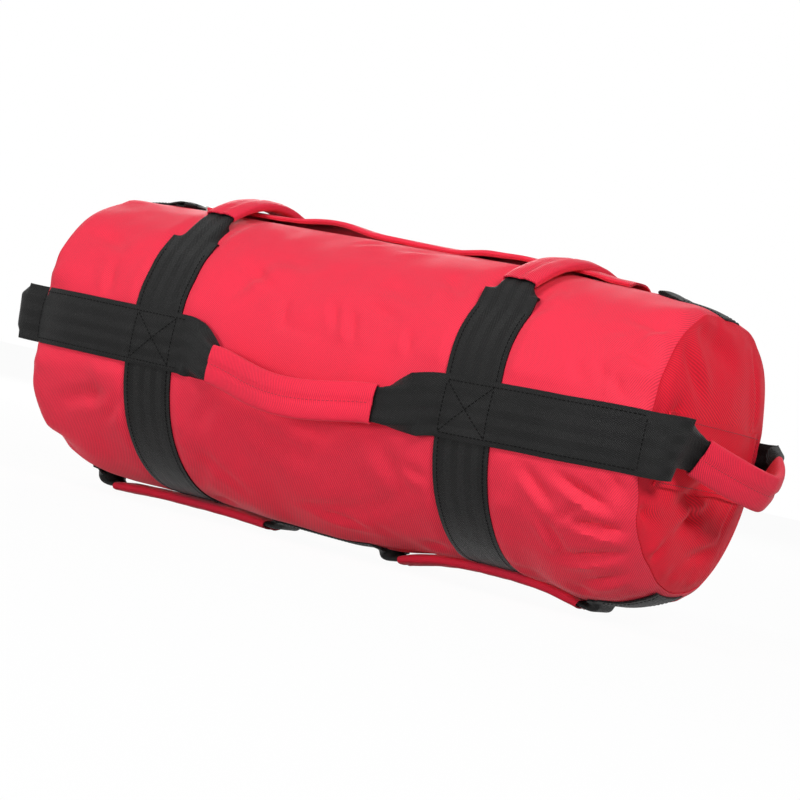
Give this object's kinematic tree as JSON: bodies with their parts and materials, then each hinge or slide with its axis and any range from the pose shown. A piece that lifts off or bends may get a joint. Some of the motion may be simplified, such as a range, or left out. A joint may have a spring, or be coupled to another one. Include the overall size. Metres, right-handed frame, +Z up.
{
  "type": "sandbag trainer",
  "caption": "Weighted training bag: a zipped canvas tube with webbing straps and padded handles on the front, back, top, bottom and ends, filled with bags of sand.",
  "frame": {"origin": "middle of the footprint, at the flat undersides of the bottom handles that the bag stands on", "axes": "+X along the bag towards its right end, +Z up through the zip, -Y towards the front strap and handle"},
  "size_m": [0.7292, 0.3206, 0.2901],
  "materials": {
    "canvas": "woven polyester canvas, red, coated inside",
    "end_canvas": "woven polyester canvas, red, seen edge on to the light",
    "sleeve_canvas": "woven polyester canvas, red, folded round the webbing and stitched",
    "webbing": "ribbed polyester webbing, black",
    "zip_tape": "woven tape, black",
    "zip_teeth": "moulded coil, black",
    "zip_metal": "black enamelled zinc",
    "filler_cloth": "coated nylon, dark grey",
    "hook_and_loop": "hook-and-loop band, black",
    "binding_tape": "woven binding tape, black",
    "sand": "dry loose sand"
  },
  "bodies": {
    "bag": {"back_strap_left": "webbing", "back_strap_right": "webbing", "body_panel": "canvas", "bottom_strap_left": "webbing", "bottom_strap_middle": "webbing", "bottom_strap_right": "webbing", "end_panel_left": "end_canvas", "end_panel_right": "end_canvas", "end_patch_left": "end_canvas", "end_patch_right": "end_canvas", "filler_bag_left": "filler_cloth", "filler_bag_middle": "filler_cloth", "filler_bag_right": "filler_cloth", "filler_closure_left": "hook_and_loop", "filler_closure_middle": "hook_and_loop", "filler_closure_right": "hook_and_loop", "filler_sand_left": "sand", "filler_sand_middle": "sand", "filler_sand_right": "sand", "front_strap_left": "webbing", "front_strap_right": "webbing", "girth_band_left": "webbing", "girth_band_right": "webbing", "seam_binding_left": "binding_tape", "seam_binding_right": "binding_tape", "zip_tab_left": "webbing", "zip_tab_right": "webbing", "zip_tape_back": "zip_tape", "zip_tape_front": "zip_tape", "zip_teeth_back": "zip_teeth", "zip_teeth_front": "zip_teeth"},
    "front_handle": {"front_handle_sleeve": "sleeve_canvas", "front_handle_webbing": "webbing"},
    "back_handle": {"back_handle_sleeve": "sleeve_canvas", "back_handle_webbing": "webbing"},
    "top_left_handle": {"top_left_handle_sleeve": "sleeve_canvas", "top_left_handle_webbing": "webbing"},
    "top_right_handle": {"top_right_handle_sleeve": "sleeve_canvas", "top_right_handle_webbing": "webbing"},
    "bottom_left_handle": {"bottom_left_handle_sleeve": "sleeve_canvas", "bottom_left_handle_webbing": "webbing"},
    "bottom_right_handle": {"bottom_right_handle_sleeve": "sleeve_canvas", "bottom_right_handle_webbing": "webbing"},
    "end_left_handle": {"end_left_handle_sleeve": "sleeve_canvas", "end_left_handle_webbing": "webbing"},
    "end_right_handle": {"end_right_handle_sleeve": "sleeve_canvas", "end_right_handle_webbing": "webbing"},
    "slider": {"zip_slider": "zip_metal"},
    "pull": {"zip_pull": "zip_metal"},
    "flap": {"storm_flap": "canvas"}
  },
  "joints": [
    {"name": "front_handle_swing", "type": "hinge", "parent": "bag", "child": "front_handle", "pos_m": [-0.011, -0.144, 0.133], "axis": [1, 0, 0], "range_deg": [-130, 60]},
    {"name": "back_handle_swing", "type": "hinge", "parent": "bag", "child": "back_handle", "pos_m": [0, 0.144, 0.133], "axis": [-1, 0, 0], "range_deg": [-130, 60]},
    {"name": "top_left_handle_lift", "type": "slide", "parent": "bag", "child": "top_left_handle", "axis": [0, 0, 1], "range_m": [0, 0.01]},
    {"name": "top_right_handle_lift", "type": "slide", "parent": "bag", "child": "top_right_handle", "axis": [0, 0, 1], "range_m": [0, 0.01]},
    {"name": "bottom_left_handle_drop", "type": "slide", "parent": "bag", "child": "bottom_left_handle", "axis": [0, 0, -1], "range_m": [0, 0.012]},
    {"name": "bottom_right_handle_drop", "type": "slide", "parent": "bag", "child": "bottom_right_handle", "axis": [0, 0, -1], "range_m": [0, 0.012]},
    {"name": "end_left_handle_swing", "type": "hinge", "parent": "bag", "child": "end_left_handle", "pos_m": [-0.33, 0, 0.143], "axis": [0, -1, 0], "range_deg": [-125, 55]},
    {"name": "end_right_handle_swing", "type": "hinge", "parent": "bag", "child": "end_right_handle", "pos_m": [0.33, 0, 0.143], "axis": [0, 1, 0], "range_deg": [-125, 55]},
    {"name": "zip_slide", "type": "slide", "parent": "bag", "child": "slider", "axis": [1, 0, 0], "range_m": [0, 0.457]},
    {"name": "zip_pull_swing", "type": "hinge", "parent": "slider", "child": "pull", "pos_m": [-0.229, 0, 0.2729], "axis": [0, 1, 0], "range_deg": [0, 120]},
    {"name": "storm_flap_lift", "type": "hinge", "parent": "bag", "child": "flap", "pos_m": [0, 0.026, 0.26761], "axis": [-1, 0, 0], "range_deg": [0, 5.5]}
  ]
}
